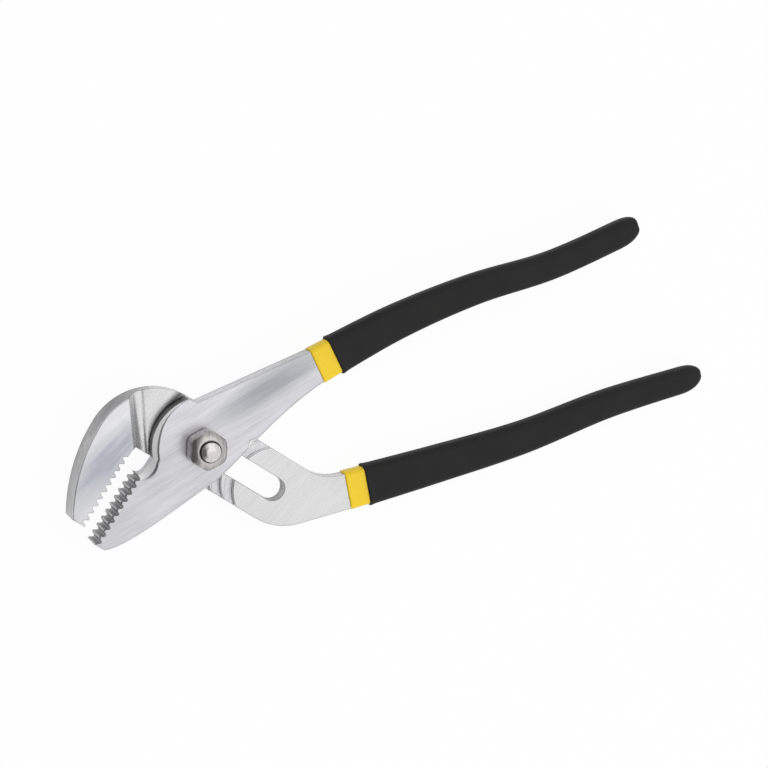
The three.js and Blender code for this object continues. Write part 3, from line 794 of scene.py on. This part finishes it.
# Its colour patch is a painted highlight: a pale warm spot on the bolt's end and the top of the nut.
plated_steel = steel("Plated fastener steel", (0.46, 0.44, 0.43), (0.22, 0.21, 0.21), math.radians(70), 0.20,
                     (0, 0, 0.024), (0.011, 0.011, 0.0055), (0.78, 0.74, 0.73), foot_shade_strength=0)
end_break_width, end_break_fall = BOLT_END_BREAK
pivot_bolt = turned_piece("pivot_bolt_turned", [
    (0, 0),
    *[(BOLT_HEAD_RADIUS - inset, level) for inset, level in BOLT_HEAD_EDGE],
    (BOLT_HEAD_RADIUS, BOLT_HEAD_HEIGHT - BOLT_HEAD_BREAK),
    (BOLT_HEAD_RADIUS - BOLT_HEAD_BREAK, BOLT_HEAD_HEIGHT),
    (BOLT_RADIUS, BOLT_HEAD_HEIGHT),
    (BOLT_RADIUS, THREAD_START),
    (THREAD_ROOT, THREAD_START + THREAD_RUNOUT),
    (THREAD_ROOT, BOLT_TOP - BOLT_END_RISE),
    (BOLT_END_RADIUS + end_break_width, BOLT_TOP - end_break_fall),
    (BOLT_END_RADIUS, BOLT_TOP),
    (0, BOLT_TOP),
], plated_steel)
thread_tree, thread_keys = screw_thread()
winding = pivot_bolt.modifiers.new("Screw thread", "NODES")
winding.node_group = thread_tree
thread_settings = {
    "Turns": (THREAD_END - THREAD_START) / THREAD_PITCH, "Root radius": THREAD_ROOT * MM,
    "Ridge": THREAD_RIDGE * MM, "Start": THREAD_START * MM, "Height": (THREAD_END - THREAD_START) * MM,
    "Finish": plated_steel}
for label, value in thread_settings.items():
    winding[thread_keys[label]] = value
settle(pivot_bolt)
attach(pivot_bolt, "pivot")
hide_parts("pivot_bolt")


# Front lever: the second forging, with the thick lower jaw, the round head that laps over the rear plate,
# and the long tapering neck and tang of the upper handle. A curved tongue on the head's back rim drops
# into one of the rear plate's grooves and takes the load.
FRONT_TOOTH_LINE = -15
FRONT_TEETH_START = 19.6
FRONT_TIP_WIDTH = 4.1
FRONT_THROAT_LINE = -13.3
FRONT_LEDGE_TURN = math.radians(248)
TONGUE_INNER = 15.1
TONGUE_OUTER = 17.95
TONGUE_SPREAD = math.radians(38)
TONGUE_FOOT = 6.85
HOLE_RADIUS = 4.1
RIM_BEVEL = 2.0
THROAT_SWELL = 1.2
RIM_BEVEL_START = math.radians(100)
RIM_BEVEL_SPREAD = math.radians(50)
ON_LINE = 0.1
CURVE_STEPS = 24
TIP_PULL = flat(7.3, -2.1)
WAIST_JAW_PULL = flat(-15, -4)
WAIST = flat(1, -12.8)
WAIST_HANDLE_PULL = flat(9, 3.3)
NECK_PULL = flat(-20, -4.9)
HEAD_DIP = flat(2.2, 15.9)
THROAT_PULL = slot_point(0, -5.9)
TOOTH_PULL = slot_point(1.6, 0)
TONGUE_ROUNDING = 0.25
FRONT_HANDLE_LENGTH = 130
FRONT_HANDLE_OFFSETS = (13.4, 18.4, 20.2, 19, 21.6)
FRONT_TANG_WIDTH = 12.3
FRONT_TAPER_EASE = 1.9


def curve_between(a, a_pull, b, b_pull):
    return [p.copy() for p in interpolate_bezier(a, a + a_pull, b + b_pull, b, CURVE_STEPS)]


def front_outline():
    tang = tang_outline(front_spine, FRONT_TANG_WIDTH, FRONT_TAPER_EASE)
    tip = slot_point(FRONT_TOOTH_LINE + FRONT_TIP_WIDTH, -(FRONT_TEETH_START + TEETH_LENGTH))
    jaw_edge = curve_between(tip, TIP_PULL, WAIST, WAIST_JAW_PULL)
    neck_edge = curve_between(WAIST, WAIST_HANDLE_PULL, tang[0], NECK_PULL)
    throat = slot_point(FRONT_THROAT_LINE, -math.sqrt(HEAD_RADIUS ** 2 - FRONT_THROAT_LINE ** 2))
    first_tooth = slot_point(FRONT_TOOTH_LINE, -FRONT_TEETH_START)
    head = arc(flat(0, 0), HEAD_RADIUS, math.pi / 2, math.atan2(throat.y, throat.x) % (2 * math.pi))
    return [
        *jaw_edge,
        *neck_edge[1:-1],
        *tang,
        HEAD_DIP,
        *head,
        *curve_between(throat, THROAT_PULL, first_tooth, TOOTH_PULL)[1:],
        slot_point(FRONT_TOOTH_LINE, -(FRONT_TEETH_START + TEETH_LENGTH)),
    ]


def on_head_rim(place):
    return abs(place.length - HEAD_RADIUS) < ON_LINE


def head_bevel(place):
    """Width of the bevel, which grows along the head's rim from its top to the throat and ends at the
    first tooth. Elsewhere it is no wider than the edge's rounding."""
    spot = turn(place, -SLOT_TURN)
    if on_head_rim(place):
        share = (math.atan2(place.y, place.x) % (2 * math.pi) - RIM_BEVEL_START) / RIM_BEVEL_SPREAD
        return EDGE_ROUNDING + (RIM_BEVEL - EDGE_ROUNDING) * min(1, max(0, share))
    past_teeth = FRONT_TOOTH_LINE + ON_LINE < spot.x < FRONT_THROAT_LINE + ON_LINE
    if past_teeth and -FRONT_TEETH_START < spot.y < 0:
        head_end = math.sqrt(HEAD_RADIUS ** 2 - FRONT_THROAT_LINE ** 2)
        share = (-spot.y - head_end) / (FRONT_TEETH_START - head_end)
        return RIM_BEVEL + THROAT_SWELL * math.sin(math.pi * share)
    return EDGE_ROUNDING


front_steel = steel("Front lever brushed steel", (0.80, 0.79, 0.82), (0.61, 0.61, 0.64), math.radians(12),
                    0.30, (0.030, 0.013, 0.014), (0.030, 0.006, 0.01), (0.42, 0.44, 0.47),
                    lap_start=-0.016, foot_shade_strength=0.5)
# Painted shade: the head's rim wall and its lower rounding are dark because they stand in shadow over the
# rear plate.
rim_shade_steel = steel("Rim wall steel with painted shade", (0.24, 0.24, 0.24), (0.12, 0.12, 0.12), math.radians(40), 0.45,
                    (0, 0, 0), (0.03, 0.03, 0.03), (0.12, 0.12, 0.12))
# Painted highlight: the head's wide bevel is near white and barely metallic, so it shows as a bright band.
rim_highlight_steel = steel("Rim bevel steel with painted highlight", (0.94, 0.94, 0.94), (0.86, 0.86, 0.86), math.radians(80), 0.42,
                  (0, 0, 0), (0.001, 0.001, 0.001), (0.82, 0.82, 0.83), foot_shade_strength=0, metallic=0.1)
front_spine = handle_spine(FRONT_HANDLE_LENGTH, FRONT_HANDLE_OFFSETS)
front_lever = slab("front_lever_forging", front_outline(), BACK_FACE, FRONT_FACE, EDGE_ROUNDING,
                   front_steel, rim_shade_steel, rim_highlight_steel, rough_wall=on_head_rim, bevel=head_bevel)
ledge = ledge_cutter("front_ledge_cutter", FRONT_LEDGE_TURN, FRONT_LAP_FACE, BACK_FACE, front_steel)
combine(front_lever, ledge, "DIFFERENCE")
tongue = slab("tongue", ring_sector(TONGUE_INNER, TONGUE_OUTER, TONGUE_SPREAD),
              TONGUE_FOOT, FRONT_LAP_FACE + CUT_MARGIN, TONGUE_ROUNDING, milled_shaded_steel)
combine(front_lever, tongue, "UNION")
hole_cutter = slab("hole_cutter", arc(flat(0, 0), HOLE_RADIUS, 0, 2 * math.pi)[:-1],
                   BACK_FACE - CUT_MARGIN, FRONT_FACE + CUT_MARGIN, 0, milled_shaded_steel)
combine(front_lever, hole_cutter, "DIFFERENCE")
front_gullet = slab("front_gullet_cutter", gullet(FRONT_TOOTH_LINE, FRONT_TEETH_START, 1),
                    BACK_FACE - CUT_MARGIN, FRONT_FACE + CUT_MARGIN, 0)
cut_row(front_lever, front_gullet, TOOTH_COUNT, slot_point(0, TOOTH_PITCH), milled_shaded_steel)
settle(front_lever, ledge, tongue, hole_cutter, front_gullet)
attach(front_lever, "front_half")
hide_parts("front_lever")


# Dips of the front handle: the same two coats on the upper tang, yellow first and black over it.
# They differ from the rear ones only in the tang's line and taper.
front_yellow = dip("front_yellow_dip", front_spine, FRONT_LAP_FACE, FRONT_TANG_WIDTH, FRONT_TAPER_EASE,
                   0, UNDERDIP_THICKNESS, yellow_coat, UNDERDIP_CORNER, 0, yellow_vinyl)
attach(front_yellow, "front_half")
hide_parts("front_yellow_underdip")
front_black = dip("front_black_dip", front_spine, FRONT_LAP_FACE, FRONT_TANG_WIDTH, FRONT_TAPER_EASE,
                  COLLAR_LENGTH, OVERDIP_THICKNESS, black_coat, OVERDIP_CORNER, LIP_RISE, black_vinyl)
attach(front_black, "front_half")
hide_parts("front_black_grip")


# Pivot nut: a plated hexagon nut with a low dome turned on its top and a chamfer round its foot.
# Its bore closes in on the bolt at both faces. It is run down the bolt onto the front lever's face
# and holds the two levers together.
NUT_FLAT_RADIUS = 6.35
NUT_CORNER_RADIUS = 6.9
NUT_FACE_RADIUS = 4.0
NUT_BOTTOM = 14.2
NUT_TOP = 22.2
NUT_DOME = 1.9
NUT_DOME_EASE = 1.5
NUT_DOME_STEPS = 8
NUT_FOOT_CHAMFER = 0.9
NUT_LIP_RADIUS = 3.8
NUT_LIP = 0.4
NUT_TURN = math.radians(10.5)
NUT_SIDES = 120
NUT_SHARP_ANGLE = math.radians(24)


def nut_mesh(name):
    """Nut as rings of points, each on the hexagon or the turned blank, whichever is nearer the axis."""
    foot, dome = [], []
    for i in range(NUT_DOME_STEPS + 1):
        share = i / NUT_DOME_STEPS
        radius = NUT_FACE_RADIUS + (NUT_CORNER_RADIUS - NUT_FACE_RADIUS) * share
        foot.append((radius, NUT_BOTTOM + NUT_FOOT_CHAMFER * share ** NUT_DOME_EASE))
        dome.append((radius, NUT_TOP - NUT_DOME * share ** NUT_DOME_EASE))
    bore = [(NUT_LIP_RADIUS, NUT_TOP), (HOLE_RADIUS, NUT_TOP - NUT_LIP),
            (HOLE_RADIUS, NUT_BOTTOM + NUT_LIP), (NUT_LIP_RADIUS, NUT_BOTTOM)]
    bm = bmesh.new()
    rings = []
    for radius, level in foot + dome[::-1] + bore:
        ring = []
        for i in range(NUT_SIDES):
            angle = 2 * math.pi * i / NUT_SIDES
            from_flat = angle % (math.pi / 3) - math.pi / 6
            reach = min(radius, NUT_FLAT_RADIUS / math.cos(from_flat))
            spot = turn(flat(reach, 0), angle + NUT_TURN)
            ring.append(bm.verts.new((spot.x * MM, spot.y * MM, level * MM)))
        rings.append(ring)
    for lower, upper in zip(rings, rings[1:] + rings[:1]):
        for i in range(NUT_SIDES):
            bm.faces.new((lower[i - 1], lower[i], upper[i], upper[i - 1])).smooth = True
    mesh = bpy.data.meshes.new(name)
    bm.to_mesh(mesh)
    bm.free()
    mesh.set_sharp_from_angle(angle=NUT_SHARP_ANGLE)
    return mesh


pivot_nut = new_piece("pivot_nut_hexagon", nut_mesh("pivot_nut_hexagon"), plated_steel)
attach(pivot_nut, "pivot")
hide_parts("pivot_nut")


# Floor, light and camera: a white floor under two large soft boxes, seen from above the tool's left.
# The picture's right and up lie 19.5 degrees from the tool's own axes.
PICTURE_TURN = math.radians(-19.5)
CAMERA_PLACE = Vector((-137.4, 181.2, 643.1))
CAMERA_TARGET = Vector((72.8, -4.1, 3.05))
CAMERA_LENS = 90.33
SENSOR_WIDTH = 36
FLOOR_HALF = 4.0
FLOOR_WHITE = 0.95
FLOOR_MIRRORED = 0.45
DIM_SIDE = -0.62
BRIGHT_SIDE = -0.08
DIM_LEVEL = 0.14
BRIGHT_LEVEL = 0.86
LAMP_TARGET = Vector((0.05, 0, 0))

floor_mesh = bpy.data.meshes.new("floor")
floor_mesh.from_pydata([(-FLOOR_HALF, -FLOOR_HALF, 0), (FLOOR_HALF, -FLOOR_HALF, 0),
                        (FLOOR_HALF, FLOOR_HALF, 0), (-FLOOR_HALF, FLOOR_HALF, 0)], [], [(0, 1, 2, 3)])
floor_paint = bpy.data.materials.new("White floor")
floor_paint.use_nodes = True
tree = floor_paint.node_tree
paint = tree.nodes["Principled BSDF"]
paint.inputs["Base Color"].default_value = (0.92, 0.92, 0.92, 1)
paint.inputs["Roughness"].default_value = 0.9
ray = add(tree, "ShaderNodeLightPath", {})
mirrored = calc(tree, "MAXIMUM", ray.outputs["Is Glossy Ray"], ray.outputs["Is Transmission Ray"])
mirrored_white = calc(tree, "MULTIPLY", mirrored, FLOOR_MIRRORED)
camera_white = calc(tree, "MULTIPLY", ray.outputs["Is Camera Ray"], FLOOR_WHITE)
seen = calc(tree, "MAXIMUM", mirrored_white, camera_white)
white = add(tree, "ShaderNodeEmission", {"Color": (1, 1, 1, 1), "Strength": 1.0})
mixed = add(tree, "ShaderNodeMixShader", {0: seen, 1: paint.outputs[0], 2: white.outputs[0]})
tree.links.new(mixed.outputs[0], tree.nodes["Material Output"].inputs["Surface"])
floor = new_piece("floor", floor_mesh, floor_paint)

world = bpy.data.worlds.new("Studio")
bpy.context.scene.world = world
world.use_nodes = True
tree = world.node_tree
sky = tree.nodes["Background"]
way = add(tree, "ShaderNodeTexCoord", {}).outputs["Generated"]
picture_right = turn(flat(1, 0), PICTURE_TURN)
towards_right = add(tree, "ShaderNodeVectorMath", {0: way, 1: (*picture_right, 0)}, operation="DOT_PRODUCT")
level = add(tree, "ShaderNodeMapRange", {
    "Value": towards_right.outputs["Value"], "From Min": DIM_SIDE, "From Max": BRIGHT_SIDE,
    "To Min": DIM_LEVEL, "To Max": BRIGHT_LEVEL},
    interpolation_type="SMOOTHSTEP").outputs[0]
ray = add(tree, "ShaderNodeLightPath", {})
level = add(tree, "ShaderNodeMix", {0: ray.outputs["Is Camera Ray"], 2: level, 3: 1.0}).outputs[0]
tree.links.new(level, sky.inputs["Strength"])
sky.inputs["Color"].default_value = (1, 1, 1, 1)


def soft_box(name, place, size, power, mirrored_in_metal):
    lamp = bpy.data.lights.new(name, "AREA")
    lamp.shape = "RECTANGLE"
    lamp.size, lamp.size_y = size
    lamp.energy = power
    fixture = bpy.data.objects.new(name, lamp)
    fixture.location = place
    fixture.visible_glossy = mirrored_in_metal
    fixture.rotation_euler = (LAMP_TARGET - fixture.location).to_track_quat("-Z", "Y").to_euler()
    bpy.context.scene.collection.objects.link(fixture)


soft_box("Overhead soft box", Vector((0.15, 0.45, 1.1)), (1.8, 1.4), 2.2, True)
soft_box("Fill soft box", Vector((0.22, -0.28, 1.15)), (1.1, 1.1), 3.4, False)

lens = bpy.data.cameras.new("Camera")
lens.lens = CAMERA_LENS
lens.sensor_width = SENSOR_WIDTH
camera = bpy.data.objects.new("Camera", lens)
view_way = (CAMERA_TARGET - CAMERA_PLACE).normalized()
right = Vector((*turn(flat(1, 0), PICTURE_TURN), 0))
right = (right - view_way * right.dot(view_way)).normalized()
up = right.cross(view_way)
facing = Matrix((right, up, -view_way)).transposed().to_4x4()
camera.matrix_world = Matrix.Translation(CAMERA_PLACE * MM) @ facing
bpy.context.scene.collection.objects.link(camera)
bpy.context.scene.camera = camera
bpy.context.scene.view_settings.view_transform = "Standard"
